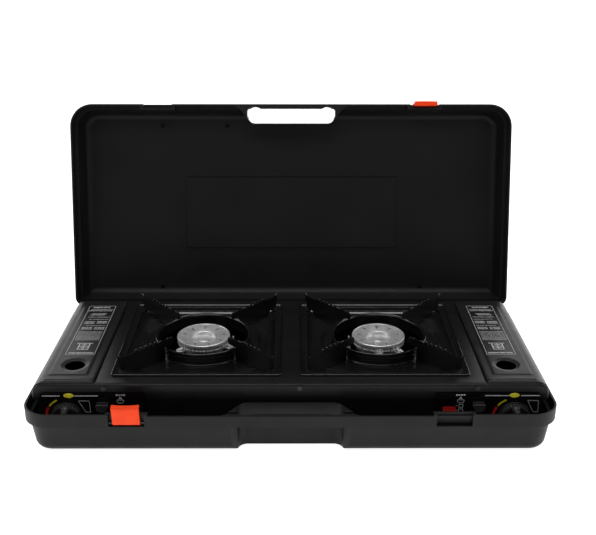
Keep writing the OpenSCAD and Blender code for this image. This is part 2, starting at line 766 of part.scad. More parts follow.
// The knob's own axis is Z here, with its face up
module knob() translate([knob_x, knob_back, knob_z]) rotate([90, 0, 0]) {
    skirt = 2.2;
    body = 9;
    r = knob_d / 2;
    grip_w = 9;
    grip_half = r - 6.5;
    grip_h = knob_len - body + overlap;
    difference() {
        union() {
            cylinder(h = skirt, r = r);
            translate([0, 0, skirt - eps]) cylinder(h = body - skirt, r = r - 2);
            translate([-grip_w / 2, -grip_half, body - overlap]) cube([grip_w, 2 * grip_half, grip_h]);
            for (y = [-1, 1]) translate([0, y * grip_half, body - overlap]) cylinder(h = grip_h, d = grip_w);
        }
        translate([0, 0, -1]) cylinder(h = 14.5, r = spindle_r + 0.02);
    }
}
module right_knob() color("#141414") knob();
module left_knob() color("#141414") left() knob();

module piezo() {
    mid = [260, lead_path[0][2]];
    half = 6;
    box([mid[0] - half, regulator_front, mid[1] - half], [mid[0] + half, -84, mid[1] + half]);
    along_y(mid[0], regulator_front - 3, regulator_front + 1, mid[1], 3);
}
module right_piezo() color("#d9c36a") piezo();
module left_piezo() color("#d9c36a") left() piezo();

module electrode() translate([electrode_x, burner_y, 0]) {
    low = lead_path[6][2] + 0.1;
    body_len = 44;
    translate([0, 0, low]) cylinder(h = body_len, r = 2.9);
    translate([0, 0, bowl_low + 0.05]) cylinder(h = 3.5, r = 4.5);
    translate([0, 0, low + body_len - overlap]) cylinder(h = 10, r = 0.8);
}
module right_electrode() color("white") electrode();
module left_electrode() color("white") left() electrode();

module right_ignition_lead() color("#303030") lead_path_tube(lead_path, lead_r);
module left_ignition_lead() color("#303030") left() lead_path_tube(lead_path, lead_r);

// The slot in the cam plate, from the pin's place with the lever up to its place with the lever pressed
module cam_slot() {
    r = cam_pin_r + 0.06;
    run = [-cam_ratio * lever_travel, lever_travel];
    for (k = [0, 1]) translate(cam_pin + k * run) circle(r);
    translate(cam_pin) rotate(atan2(run[1], run[0])) translate([0, -r]) square([norm(run), 2 * r]);
}

// D-shaped tab outside, a stem through the slot and a slotted cam plate inside
module lock_lever() {
    face = knob_back;
    inner = panel_front + sheet + 1.4;
    tab_out = 9;
    stem_half = 2.8;
    edge = 4.5;
    high = cam_pin + [-cam_ratio * lever_travel, lever_travel];
    difference() {
        translate([lever_x, face, lever_top]) rotate([90, 0, 0]) linear_extrude(tab_out) difference() {
            union() {
                translate([0, -3]) circle(lever_tab_r);
                translate([-lever_tab_r, -3]) square([2 * lever_tab_r, 3]);
            }
            translate([-20, 0]) square([40, 20]);
        }
        box([lever_x - 20, face - 7, lever_top - 2.5], [lever_x + 20, face - 2, lever_top + 1]);
    }
    box([lever_x - stem_half, face - 1, lever_top - 8], [lever_x + stem_half, inner + 1, lever_top - 3]);
    box([cam_x, inner, lever_top - 17], [lever_x + stem_half + 1, inner + cam_t, lever_top - 1]);
    translate([cam_x, 0, 0]) rotate([90, 0, 90]) linear_extrude(cam_t) difference() {
        polygon([[inner, lever_top - 17], cam_pin + [-edge, -edge], cam_pin + [edge, -edge],
                 cam_pin + [edge, 1], high + [edge, 1], [high[0] + edge, high[1] + 4],
                 [inner, high[1] + 4]]);
        cam_slot();
    }
}
module right_lock_lever() color("#3a3a3a") lock_lever();
module left_lock_lever() color("#3a3a3a") left() lock_lever();

// Slides the cartridge onto the regulator; its pin rides in the lever's slot
module carriage() {
    low = body_low + sheet + 0.3;
    front = cam_pin[0] - cam_pin_r;
    push_y = 112;
    push_t = 2;
    box([rail[0], front, low], [rail[1], push_y + push_t, low + 5]);
    box([rail[0], front, low], [rail[1], front + 2 * cam_pin_r, cam_pin[1] + 2 * cam_pin_r]);
    along_x(cam_x - 2, rail[0] + 1, cam_pin[0], cam_pin[1], cam_pin_r);
    box([rail[0], push_y, low], [309, push_y + push_t, 62]);
}
module right_carriage() color("#8a8a8a") carriage();
module left_carriage() color("#8a8a8a") left() carriage();

case_base();
case_lid();
hinge_pins();
base_latch();
base_latch_pin();
lid_latch();
lid_latch_pin();
body_tray();
stove_feet();
front_panel();
stove_deck();
panel_screws();
left_fascia();
left_heat_shield();
left_cover();
left_cover_pins();
left_pan();
left_pan_fins();
left_burner_cap();
left_burner_bowl();
left_mixing_tube();
left_burner_bracket();
left_gas_pipe();
left_regulator();
left_valve_spindle();
left_knob();
left_piezo();
left_electrode();
left_ignition_lead();
left_lock_lever();
left_carriage();
right_fascia();
right_heat_shield();
right_cover();
right_cover_pins();
right_pan();
right_pan_fins();
right_burner_cap();
right_burner_bowl();
right_mixing_tube();
right_burner_bracket();
right_gas_pipe();
right_regulator();
right_valve_spindle();
right_knob();
right_piezo();
right_electrode();
right_ignition_lead();
right_lock_lever();
right_carriage();
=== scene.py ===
"""Looks of the two-burner camping stove in its carry case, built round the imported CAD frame.

Everything is in metres in the frame of the CAD: X to the right, the front faces -Y, Z up.
Parts of the right side are built once and mirrored for the left.
"""
import json
import math

import bpy
import bmesh
from mathutils import Matrix, Vector


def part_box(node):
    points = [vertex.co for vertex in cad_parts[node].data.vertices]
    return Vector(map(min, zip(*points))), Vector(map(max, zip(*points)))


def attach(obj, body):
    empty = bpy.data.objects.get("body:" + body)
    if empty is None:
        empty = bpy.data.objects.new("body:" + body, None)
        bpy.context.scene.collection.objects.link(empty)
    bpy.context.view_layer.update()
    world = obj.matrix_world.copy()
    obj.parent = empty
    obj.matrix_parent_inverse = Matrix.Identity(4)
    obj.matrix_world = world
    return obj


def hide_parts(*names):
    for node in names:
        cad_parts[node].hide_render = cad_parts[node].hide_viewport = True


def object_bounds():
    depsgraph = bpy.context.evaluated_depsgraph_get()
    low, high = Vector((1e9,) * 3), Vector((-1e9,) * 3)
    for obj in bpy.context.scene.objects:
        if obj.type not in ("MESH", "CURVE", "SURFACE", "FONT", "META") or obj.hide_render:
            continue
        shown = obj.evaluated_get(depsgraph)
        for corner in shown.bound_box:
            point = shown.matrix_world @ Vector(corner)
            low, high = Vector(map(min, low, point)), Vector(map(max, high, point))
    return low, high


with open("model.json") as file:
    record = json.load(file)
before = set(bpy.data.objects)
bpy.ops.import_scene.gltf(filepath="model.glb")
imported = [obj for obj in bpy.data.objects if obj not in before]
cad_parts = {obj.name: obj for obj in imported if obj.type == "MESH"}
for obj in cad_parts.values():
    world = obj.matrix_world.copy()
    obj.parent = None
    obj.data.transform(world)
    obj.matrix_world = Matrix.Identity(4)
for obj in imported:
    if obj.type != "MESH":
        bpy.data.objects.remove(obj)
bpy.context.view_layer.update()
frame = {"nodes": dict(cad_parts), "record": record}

NODES = frame["nodes"]
BODY = {node: body for body, nodes in frame["record"]["behaviour"]["bodies"].items() for node in nodes}
MM = 0.001
WELD = 1e-6
SIDES = {"right": 1, "left": -1}


# ---------------------------------------------------------------- mesh helpers

def arc(centre, radius, start, end, steps):
    """Points of an arc in a plane, angles in degrees."""
    return [(centre[0] + radius * math.cos(math.radians(start + (end - start) * i / steps)),
             centre[1] + radius * math.sin(math.radians(start + (end - start) * i / steps)))
            for i in range(steps + 1)]


def rounded_rect(low, high, radius, steps=6):
    """Outline of a rounded rectangle, anticlockwise from the lower right corner."""
    (x0, y0), (x1, y1) = low, high
    return (arc((x1 - radius, y0 + radius), radius, -90, 0, steps)
            + arc((x1 - radius, y1 - radius), radius, 0, 90, steps)
            + arc((x0 + radius, y1 - radius), radius, 90, 180, steps)
            + arc((x0 + radius, y0 + radius), radius, 180, 270, steps))


def box_mm(node):
    """The corners of a CAD node's box in millimetres."""
    return [[value / MM for value in corner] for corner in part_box(node)]


def flat(u, v, w):
    """A prism's outline laid flat, seen from above."""
    return (u, v, w)


def from_front(u, v, w):
    """A prism's outline stood up, seen from the front; w runs back."""
    return (u, w, v)


class Shape:
    """Vertices and faces in millimetres that grow into one mesh."""

    def __init__(self):
        self.verts = []
        self.faces = []

    def add(self, verts, faces):
        start = len(self.verts)
        self.verts += [Vector(v) for v in verts]
        self.faces += [[start + i for i in face] for face in faces]
        return self

    def loft(self, rings, close=True, cap=(False, False)):
        """Joins rings of equal length; close joins each ring's last point to its first."""
        count = len(rings[0])
        verts = [v for ring in rings for v in ring]
        faces = []
        for i in range(len(rings) - 1):
            for j in range(count if close else count - 1):
                k = (j + 1) % count
                faces.append([i * count + j, i * count + k, (i + 1) * count + k, (i + 1) * count + j])
        if cap[0]:
            faces.append(list(range(count - 1, -1, -1)))
        if cap[1]:
            faces.append([(len(rings) - 1) * count + j for j in range(count)])
        return self.add(verts, faces)

    def prism(self, outline, place, low, high):
        """A flat outline made solid: place(u, v, w) puts a point, w runs from low to high."""
        rings = [[place(u, v, w) for u, v in outline] for w in (low, high)]
        return self.loft(rings, cap=(True, True))

    def revolve(self, profile, centre, steps=72, wave=None):
        """Turns (radius, height) points about a vertical axis; wave(angle, r, z) may shift a point."""
        rings = []
        for radius, height in profile:
            ring = []
            for j in range(steps):
                angle = 2 * math.pi * j / steps
                r, z = wave(angle, radius, height) if wave else (radius, height)
                x, y = r * math.cos(angle), r * math.sin(angle)
                ring.append((centre[0] + x, centre[1] + y, centre[2] + z))
            rings.append(ring)
        return self.loft(rings)

    def mirrored(self, side):
        """Moves a shape of the right side to the left when side is -1."""
        if side < 0:
            self.verts = [Vector((-v.x, v.y, v.z)) for v in self.verts]
            self.faces = [face[::-1] for face in self.faces]
        return self


def object_of(name, shape, weld):
    """A new object with a Shape's mesh in metres; weld joins points that coincide."""
    mesh = bpy.data.meshes.new(name)
    mesh.from_pydata([v * MM for v in shape.verts], [], shape.faces)
    cleaner = bmesh.new()
    cleaner.from_mesh(mesh)
    if weld:
        bmesh.ops.remove_doubles(cleaner, verts=cleaner.verts, dist=WELD)
    bmesh.ops.recalc_face_normals(cleaner, faces=cleaner.faces)
    cleaner.to_mesh(mesh)
    cleaner.free()
    obj = bpy.data.objects.new(name, mesh)
    bpy.context.scene.collection.objects.link(obj)
    return obj


def cutter(shape):
    """A solid for a cut, removed by piece() once the cut is made."""
    return object_of("cutter", shape, weld=False)


def piece(name, shape, material, body, replaces=(), bevel=0.0, sheet=0.0, sharp=38.0, cutters=()):
    """Makes an object of a Shape, finishes its mesh and hangs it on a body."""
    obj = object_of(name, shape, weld=True)
    if sheet:
        solid = obj.modifiers.new("sheet", "SOLIDIFY")
        solid.thickness = sheet * MM
        solid.offset = -1
        solid.use_even_offset = False
    for index, tool in enumerate(cutters):
        cut = obj.modifiers.new(f"cut{index}", "BOOLEAN")
        cut.object = tool
        cut.operation = "DIFFERENCE"
        cut.solver = "EXACT"
    if cutters or sheet:
        bpy.context.view_layer.update()
        evaluated = obj.evaluated_get(bpy.context.evaluated_depsgraph_get())
        obj.data = bpy.data.meshes.new_from_object(evaluated)
        obj.modifiers.clear()
        for tool in cutters:
            bpy.data.objects.remove(tool)
    if bevel:
        add_bevel(obj, bevel * MM)
    obj.data.polygons.foreach_set("use_smooth", [True] * len(obj.data.polygons))
    obj.data.set_sharp_from_angle(angle=math.radians(sharp))
    obj.data.materials.clear()
    obj.data.materials.append(material)
    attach(obj, body)
    if replaces:
        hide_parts(*replaces)
    return obj


def add_bevel(obj, width, segments=2, angle=35.0):
    """Softens the edges that turn by more than the angle."""
    bevel = obj.modifiers.new("edge", "BEVEL")
    bevel.width = width
    bevel.segments = segments
    bevel.limit_method = "ANGLE"
    bevel.angle_limit = math.radians(angle)
    bevel.use_clamp_overlap = True
    bevel.harden_normals = True


# ---------------------------------------------------------------- materials

def material(name, dark, light, rough, patch=40.0, grain=0.0, grain_size=900.0, metallic=0.0, coat=0.0,
             specular=0.5, stretch=(1.0, 1.0, 1.0)):
    """A surface whose colour drifts between dark and light in patches, with roughness and grain to match.

    rough is (lowest, highest). grain is the bump's depth in metres.
    """
    mat = bpy.data.materials.new(name)
    mat.use_nodes = True
    tree = mat.node_tree
    tree.nodes.clear()
    new = tree.nodes.new
    link = tree.links.new
    out = new("ShaderNodeOutputMaterial")
    shader = new("ShaderNodeBsdfPrincipled")
    link(shader.outputs["BSDF"], out.inputs["Surface"])
    shader.inputs["Metallic"].default_value = metallic
    shader.inputs["Coat Weight"].default_value = coat
    shader.inputs["Coat Roughness"].default_value = 0.05
    shader.inputs["Specular IOR Level"].default_value = specular
    coords = new("ShaderNodeTexCoord")
    mapping = new("ShaderNodeMapping")
    mapping.inputs["Scale"].default_value = stretch
    link(coords.outputs["Object"], mapping.inputs["Vector"])

    def noise(scale, detail):
        node = new("ShaderNodeTexNoise")
        node.inputs["Scale"].default_value = scale
        node.inputs["Detail"].default_value = detail
        link(mapping.outputs["Vector"], node.inputs["Vector"])
        return node

    patches = noise(patch, 6.0)
    ramp = new("ShaderNodeValToRGB")
    ramp.color_ramp.elements[0].position = 0.35
    ramp.color_ramp.elements[1].position = 0.68
    ramp.color_ramp.elements[0].color = (*dark, 1)
    ramp.color_ramp.elements[1].color = (*light, 1)
    link(patches.outputs["Fac"], ramp.inputs["Fac"])
    link(ramp.outputs["Color"], shader.inputs["Base Color"])
    smudge = noise(patch * 3.1, 5.0)
    spread = new("ShaderNodeMapRange")
    spread.inputs["From Min"].default_value = 0.3
    spread.inputs["From Max"].default_value = 0.7
    spread.inputs["To Min"].default_value = rough[0]
    spread.inputs["To Max"].default_value = rough[1]
    link(smudge.outputs["Fac"], spread.inputs["Value"])
    link(spread.outputs["Result"], shader.inputs["Roughness"])
    if grain:
        pits = noise(grain_size, 3.0)
        bump = new("ShaderNodeBump")
        bump.inputs["Strength"].default_value = 1.0
        bump.inputs["Distance"].default_value = grain
        link(pits.outputs["Fac"], bump.inputs["Height"])
        link(bump.outputs["Normal"], shader.inputs["Normal"])
    return mat


def grey(value):
    return (value, value, value)


PLASTIC = material("case_plastic", grey(0.0068), grey(0.0092), (0.42, 0.54), patch=14,
                   grain=0.00006, grain_size=1400, specular=0.2)
LATCH = material("latch_plastic", (0.84, 0.05, 0.006), (0.92, 0.062, 0.01), (0.42, 0.54), patch=60,
                 grain=0.00002, grain_size=1600, specular=0.12)
ENAMEL = material("black_enamel", grey(0.006), grey(0.0085), (0.34, 0.42), patch=30,
                  grain=0.00002, grain_size=240, specular=0.2)
PAN_ENAMEL = material("pan_enamel", grey(0.005), grey(0.0075), (0.16, 0.24), patch=34,
                      grain=0.00004, grain_size=190, coat=0.15)
COVER_ENAMEL = material("cover_enamel", grey(0.01), grey(0.014), (0.32, 0.4), patch=26,
                        grain=0.00002, grain_size=420, specular=0.24)
GLOSS = material("panel_gloss", (0.0045, 0.0035, 0.0045), (0.007, 0.005, 0.007), (0.1, 0.16), patch=40,
                 grain=0.00001, grain_size=300, coat=0.3)
KNOB_PLASTIC = material("knob_plastic", grey(0.007), grey(0.011), (0.34, 0.44), patch=90,
                        grain=0.00003, grain_size=1500)
# lighter metal for the support crests: a painted highlight standing in for glints, and worn bare metal
FIN_GLINT_AND_WEAR = material("fin_glint_and_wear", grey(0.1), grey(0.2), (0.16, 0.26), patch=200,
                    grain=0.00001, grain_size=900, metallic=0.6)
FIN_ENAMEL = material("fin_enamel", grey(0.002), grey(0.0035), (0.3, 0.4), patch=34,
                      grain=0.00004, grain_size=190, specular=0.14)
ALUMINIUM = material("burner_aluminium", grey(0.66), grey(0.86), (0.3, 0.42), patch=120,
                     grain=0.00005, grain_size=1300, metallic=0.7)
SCREW = material("screw_black", grey(0.03), grey(0.06), (0.3, 0.45), patch=200,
                 grain=0.00001, grain_size=900, metallic=0.8)
STEEL = material("steel", grey(0.42), grey(0.55), (0.2, 0.34), patch=160,
                 grain=0.00001, grain_size=900, metallic=1.0, stretch=(1, 1, 6))
GALVANISED = material("bare_steel", grey(0.28), grey(0.42), (0.3, 0.5), patch=90,
                      grain=0.00002, grain_size=400, metallic=1.0)
LEVER = material("lever_steel", (0.05, 0.045, 0.05), (0.075, 0.068, 0.075), (0.3, 0.42), patch=120,
                 grain=0.00001, grain_size=900, metallic=0.3)
ZINC = material("zinc", grey(0.33), grey(0.45), (0.36, 0.5), patch=130,
                grain=0.00004, grain_size=800, metallic=1.0)
BRASS = material("brass", (0.46, 0.29, 0.1), (0.6, 0.41, 0.16), (0.22, 0.36), patch=120,
                 grain=0.00001, grain_size=900, metallic=1.0)
CERAMIC = material("ceramic", (0.74, 0.72, 0.66), (0.86, 0.85, 0.8), (0.15, 0.28), patch=200,
                   grain=0.00001, grain_size=900)
RUBBER = material("rubber", grey(0.012), grey(0.02), (0.6, 0.8), patch=80,
                  grain=0.00005, grain_size=1200)
WHITE_INK = material("white_print", grey(0.42), grey(0.55), (0.4, 0.55), patch=300,
                     grain=0.00001, grain_size=2000)
YELLOW_INK = material("yellow_print", (0.68, 0.6, 0.012), (0.78, 0.7, 0.03), (0.4, 0.55), patch=300,
                      grain=0.00001, grain_size=2000)
RED_INK = material("red_print", (0.62, 0.012, 0.01), (0.74, 0.025, 0.018), (0.4, 0.55), patch=300,
                   grain=0.00001, grain_size=2000)

# what each CAD node's material slot looks like
FINISH = {
    "case_plastic": PLASTIC, "latch_plastic": LATCH, "steel": STEEL, "black_enamel": ENAMEL,
    "pan_enamel": PAN_ENAMEL, "panel_gloss": GLOSS, "knob_plastic": KNOB_PLASTIC, "lever_steel": LEVER,
    "bare_steel": GALVANISED, "burner_aluminium": ALUMINIUM, "zinc": ZINC, "brass": BRASS,
    "ceramic": CERAMIC, "rubber": RUBBER,
}


# ---------------------------------------------------------------- pans

def square_ring(centre, half, radius, z, corner_steps=6, side_steps=9):
    """A rounded square as a ring of points, with its sides divided too."""
    inner = half - radius
    points = []
    for quarter in range(4):
        start = -90 + 90 * quarter
        cx = inner * (1 if quarter in (0, 1) else -1)
        cy = inner * (1 if quarter in (1, 2) else -1)
        points += arc((cx, cy), radius, start, start + 90, corner_steps)
        x, y = points[-1]
        turn = math.radians(start + 180)
        for k in range(1, side_steps):
            step = 2 * inner * k / side_steps
            points.append((x + step * math.cos(turn), y + step * math.sin(turn)))
    return [(centre[0] + x, centre[1] + y, z) for x, y in points]


def circle_ring(template, centre, radius, z):
    """Points on a circle in the directions of the template ring's points."""
    ring = []
    for x, y, _ in template:
        dx, dy = x - centre[0], y - centre[1]
        k = radius / math.hypot(dx, dy)
        ring.append((centre[0] + dx * k, centre[1] + dy * k, z))
    return ring


BURNER = (118.0, 11.5)
PAN_HALF = 106.0
DECK_TOP = 80.0
RING_R = 63.0
DISH_FLOOR = 71.7
# rolled rim, groove, flange and the slope into the dish: inset from the edge, corner radius, height
PAN_RIM = [(0.4, 3.8, 80.2), (0, 4, 80.5), (0, 4, 81.5), (0.3, 3.8, 82.2), (0.9, 3.5, 82.5),
           (1.5, 3.2, 82.2), (1.9, 3.0, 81.5), (2.4, 3.0, 81.0), (3.6, 3.4, 80.9), (5.2, 4.4, 80.7),
           (7.2, 5.8, 80.0), (9.4, 7.5, 78.4), (11.6, 9.5, 76.3), (13.8, 12, 74.6), (16.4, 15, 73.4),
           (20, 20, 72.6)]
# up the ring's wall, over its flared lip and down inside: distance outside the wall, height
PAN_RING = [(1.3, 71.9), (0.3, 72.9), (0, 75), (0, 80.2), (0.5, 80.8), (0.5, 81.6), (0, 82.2), (0, 85.2),
            (0.8, 86.0), (1.5, 86.8), (1.5, 87.7), (0.8, 88.4), (-0.1, 88.5), (-0.9, 88.1), (-2.6, 86.2),
            (-2.8, 85.5), (-2.3, 85.1), (-1.4, 84.8), (-1.2, 80), (-1.2, 70.7), (-0.7, 70.5), (4, 70.5)]
# the sheet's underside, back out to the rim
PAN_UNDER = [(21, 20, 71.0), (15.4, 13, 72.4), (12.8, 11, 74.2), (10.6, 9, 76.2), (9.9, 8.4, 77.2),
             (9.8, 8, 79.4), (3, 4, 79.9), (1.4, 4, 80.2)]
DISH_STEPS = 14
CRESCENT_R = 80.0
CRESCENT_HALF_ANGLE = 24.0
CRESCENT_H = 2.6
FOOT_BOSS_R = 104.0
FOOT_BOSS_H = 1.6


def hump(value, middle, width):
    """A smooth hump, 1 at its middle."""
    return math.exp(-((value - middle) / width) ** 2)


def dish_relief(point):
    """Pressed crescents left and right of the ring, and a low boss under each support's foot."""
    dx, dy = point[0] - BURNER[0], point[1] - BURNER[1]
    reach = math.hypot(dx, dy)
    angle = abs(math.degrees(math.atan2(dy, abs(dx))))
    along = 1 / (1 + math.exp((angle - CRESCENT_HALF_ANGLE) / 1.6))
    crescent = hump(reach, CRESCENT_R, 4.2) * along
    boss = hump(angle, 45, 4.0) * hump(reach, FOOT_BOSS_R, 6.0)
    return CRESCENT_H * crescent + FOOT_BOSS_H * boss


def make_pan(name, side):
    """A square drip pan with a rolled rim, a dished floor and a raised ring round the burner."""

    def square_rings(section):
        return [square_ring(BURNER, PAN_HALF - inset, radius, z) for inset, radius, z in section]

    rings = square_rings(PAN_RIM)
    template = rings[1]
    outer = rings[-1]
    inner = circle_ring(template, BURNER, RING_R + 2.6, DISH_FLOOR + 0.15)
    for k in range(1, DISH_STEPS + 1):
        t = k / DISH_STEPS
        ring = []
        for a, b in zip(outer, inner):
            x, y, z = (a[i] + (b[i] - a[i]) * t for i in range(3))
            ring.append((x, y, z + dish_relief((x, y))))
        rings.append(ring)
    rings += [circle_ring(template, BURNER, RING_R + out, z) for out, z in PAN_RING]
    rings += square_rings(PAN_UNDER)
    rings.append(rings[0])
    shape = Shape().loft(rings)
    piece(name, shape.mirrored(side), PAN_ENAMEL, BODY[name], replaces=[name], sharp=50)


FIN_TIP = 138.5
FIN_HIGH = 104.3
FIN_TOP = FIN_HIGH - 3.3
FIN_HALF_T = 0.8
TEETH = 5
TOOTH_PITCH = 7.4
FIRST_TOOTH = 111.0
# the support seen from the side, as distance from the burner's middle and height: foot and spike ...
FIN_OUTER = [(RING_R + 2.2, 72.0), (84, 72.0), (86, 73.6), (101, 73.6), (103, 72.2), (116, 72.6), (119, 75),
             (123, 80), (126, 82.0), (131.5, 82.0), (134.5, 84), (136, 92), (137.4, 99), (FIN_TIP, FIN_HIGH),
             (137.2, FIN_HIGH - 0.3), (134.4, 101.6), (130, 99.9), (124, 99.6), (112, 100.2)]
# ... and the nose that reaches over the ring
FIN_NOSE = [(73, FIN_TOP), (56, FIN_TOP), (52.5, FIN_TOP - 0.8), (50.4, FIN_TOP - 3), (50, FIN_TOP - 5.5),
            (50.6, 92.4), (53, 90.6), (57, 90.2), (RING_R - 3, 90.1), (RING_R + 1.2, 90.1),
            (RING_R + 2.2, 89.2)]


def make_fins(name, side):
    """Four serrated supports on the diagonals, with lighter metal strips on their crests: painted
    highlights, and worn bare metal.
    """
    outline = list(FIN_OUTER)
    crests = []
    for k in range(TEETH):
        x = FIRST_TOOTH - k * TOOTH_PITCH
        crest = [(x, FIN_TOP + 1.7), (x - 2.8, FIN_TOP + 1.9)]
        outline += crest + [(x - 3.4, FIN_TOP - 1.5), (x - 6.6, FIN_TOP - 1.7)]
        crests.append(crest)
    outline += FIN_NOSE
    crests += [[(134.4, 101.6), (137.2, FIN_HIGH - 0.3)], [(76, FIN_TOP), (70, FIN_TOP)],
               [(61, FIN_TOP), (54, FIN_TOP - 0.4)]]
    shape = Shape()
    crest_glint_and_wear = Shape()
    for quarter in range(4):
        turn = math.radians(45 + 90 * quarter)

        def place(r, z, w, c=math.cos(turn), s=math.sin(turn)):
            return (BURNER[0] + r * c - w * s, BURNER[1] + r * s + w * c, z)

        shape.prism(outline, place, -FIN_HALF_T, FIN_HALF_T)
        # a lighter strip on each crest and on the spike's top: painted highlight, also worn metal
        for (ar, az), (br, bz) in crests:
            strip = [(ar, az - 0.3), (ar, az + 0.12), (br, bz + 0.12), (br, bz - 0.3)]
            crest_glint_and_wear.prism(strip, place, -FIN_HALF_T - 0.06, FIN_HALF_T + 0.06)
    piece(name + "_crest_glints_and_wear", crest_glint_and_wear.mirrored(side), FIN_GLINT_AND_WEAR, BODY[name])
    piece(name, shape.mirrored(side), FIN_ENAMEL, BODY[name], replaces=[name], bevel=0.25)


# ---------------------------------------------------------------- burners

PORTS = 9
PORT_R = 26.6
PORT_TIP_R = 20.6
CAP_NOTCHES = 44
CAP_STEPS = 4 * CAP_NOTCHES
# from the neck out over the notched skirt and the rim's bead, in across the top and down into the middle
CAP_SECTION = [(26, 77.6), (27, 77.0), (27, 72.6), (29.2, 72.6), (29.2, 76.2), (34.4, 76.2),
               (35.1, 76.5), (35.3, 77.2), (35.3, 77.5), (35.3, 80.9), (35.4, 81.1), (35.5, 81.8),
               (35.5, 84.2), (35.2, 85.0), (34.6, 85.4), (34.0, 85.3), (33.5, 84.8), (32.8, 84.7),
               (30, 84.4), (25, 83.6), (20, 82.6), (17, 81.8), (16.2, 81.4), (15.7, 80.0), (15.2, 77.6),
               (14.4, 76.9), (9, 76.8), (7.4, 77.4), (5.6, 78.4), (3.2, 78.8)]
CAP_RIVETS = 4
RIVET_R = 11.2


def around_burner(degrees):
    """A place function for prisms: u runs outwards in the given direction, v across it, w up."""
    c, s = math.cos(math.radians(degrees)), math.sin(math.radians(degrees))
    return lambda u, v, w: (BURNER[0] + u * c - v * s, BURNER[1] + u * s + v * c, w)


def make_cap(name, side):
    """The burner head: dished top with teardrop ports, a notched skirt under it and a sunk middle."""

    def notch(angle, radius, z):
        if 77.4 < z < 81.0 and radius > 33.5 and math.sin(CAP_NOTCHES * angle) > 0:
            return radius - 1.5, z
        return radius, z

    shape = Shape().revolve(CAP_SECTION, (BURNER[0], BURNER[1], 0), steps=CAP_STEPS, wave=notch)
    last = len(shape.verts) - CAP_STEPS
    shape.faces.append(list(range(CAP_STEPS))[::-1])
    shape.faces.append([last + j for j in range(CAP_STEPS)])
    port = [(PORT_TIP_R, 0)] + arc((PORT_R, 0), 2.7, -68, 68, 8)
    ports = []
    for k in range(PORTS):
        tool = Shape().prism(port, around_burner(360 * (k + 0.25) / PORTS), 78.6, 90)
        ports.append(cutter(tool.mirrored(side)))
    piece(name, shape.mirrored(side), ALUMINIUM, BODY[name], replaces=[name],
          cutters=ports, sharp=30)
    rivets = Shape()
    for k in range(CAP_RIVETS):
        rivets.prism(arc((RIVET_R, 0), 1.7, 0, 330, 11), around_burner(20 + 88 * k), 76.6, 77.8)
    piece(name + "_rivets", rivets.mirrored(side), ALUMINIUM, BODY[name], bevel=0.3)


# directions of the bowl's ears, which aren't mirrored
EARS = {"left": (-142, -20, 100), "right": (-92, -46, 90)}
EAR_R = 37.5
BOWL_STEPS = 72
BOWL_SECTION = [(13, 40.5), (13, 60), (15, 62.5), (24, 66), (30, 68.6), (31.4, 70), (31.4, 73.6),
                (33.2, 74.2), (33.4, 75.2), (32.8, 76.0), (30.2, 76.0), (29.6, 75), (29.5, 70.4),
                (24, 68), (13, 64), (9, 62.5), (9, 42)]


def make_bowl(name, side):
    """Mixing bowl below the cap, with bright ears and their screws."""
    shape = Shape().revolve(BOWL_SECTION, (BURNER[0], BURNER[1], 0), steps=BOWL_STEPS)
    last = (len(BOWL_SECTION) - 1) * BOWL_STEPS
    shape.faces.append(list(range(BOWL_STEPS))[::-1])
    shape.faces.append([last + j for j in range(BOWL_STEPS)])
    ear = [(29, -5.5)] + arc((EAR_R, 0), 5.5, -80, 80, 8) + [(29, 5.5)]
    head = arc((EAR_R, 0), 3.2, 0, 330, 11)
    for degrees in EARS[name.split("_")[0]]:
        place = around_burner(degrees if side > 0 else 180 - degrees)
        shape.prism(ear, place, 72.2, 74.0)
        shape.prism(head, place, 74.0, 76.0)
    piece(name, shape.mirrored(side), ALUMINIUM, BODY[name], replaces=[name], bevel=0.25)


# ---------------------------------------------------------------- cartridge covers

COVER_IN = 241.5
COVER_OUT = 318.0
COVER_TOP = 82.0
SHOULDER = (303.0, 67.0)
SHOULDER_R = 15.0
HOLE = (273.8, -68.0)
HOLE_R = 13.2
COVER_FIELD = ((251.0, -96.0), (302.0, 113.0))
FIELD_EDGE = 3.2
FIELD_H = 0.75
# across the cover's front: place along Y, height and width of each bead
BEADS = ((-105.0, 1.1, 1.5), (-109.2, 0.8, 1.2))
ACROSS = 44
SHOULDER_STEPS = 12


def soft_step(value, low, high):
    t = min(max((value - low) / (high - low), 0), 1)
    return t * t * (3 - 2 * t)


def cover_emboss(x, y):
    """Height of the pressed field and beads over the cover's plain surface."""
    (x0, y0), (x1, y1) = COVER_FIELD
    field = (soft_step(x, x0, x0 + FIELD_EDGE) * soft_step(-x, -x1, -x1 + FIELD_EDGE)
             * soft_step(y, y0, y0 + FIELD_EDGE) * soft_step(-y, -y1, -y1 + FIELD_EDGE))
    from_hole = math.hypot(x - HOLE[0], y - HOLE[1])
    dip = 1.1 * (1 - soft_step(from_hole, HOLE_R + 0.6, HOLE_R + 4.2))
    beads = sum(height * hump(y, place, width) for place, height, width in BEADS)
    beads *= soft_step(-x, -308, -300) * soft_step(x, 243, 246)
    return FIELD_H * field - dip + beads


def cover_section():
    """Points across the cover with their outward normals: (x, z, nx, nz)."""
    edge = COVER_IN + 1.5
    points = [(COVER_IN, COVER_TOP - 8, -1, 0), (COVER_IN, COVER_TOP - 1.2, -1, 0),
              (COVER_IN + 0.3, COVER_TOP - 0.4, -0.7, 0.7)]
    points += [(edge + (SHOULDER[0] - edge) * k / ACROSS, COVER_TOP, 0, 1) for k in range(ACROSS + 1)]
    for k in range(1, SHOULDER_STEPS + 1):
        a = math.radians(90 - 90 * k / SHOULDER_STEPS)
        points.append((SHOULDER[0] + SHOULDER_R * math.cos(a), SHOULDER[1] + SHOULDER_R * math.sin(a),
                       math.cos(a), math.sin(a)))
    points.append((COVER_OUT, 66.0, 1, 0))
    return points


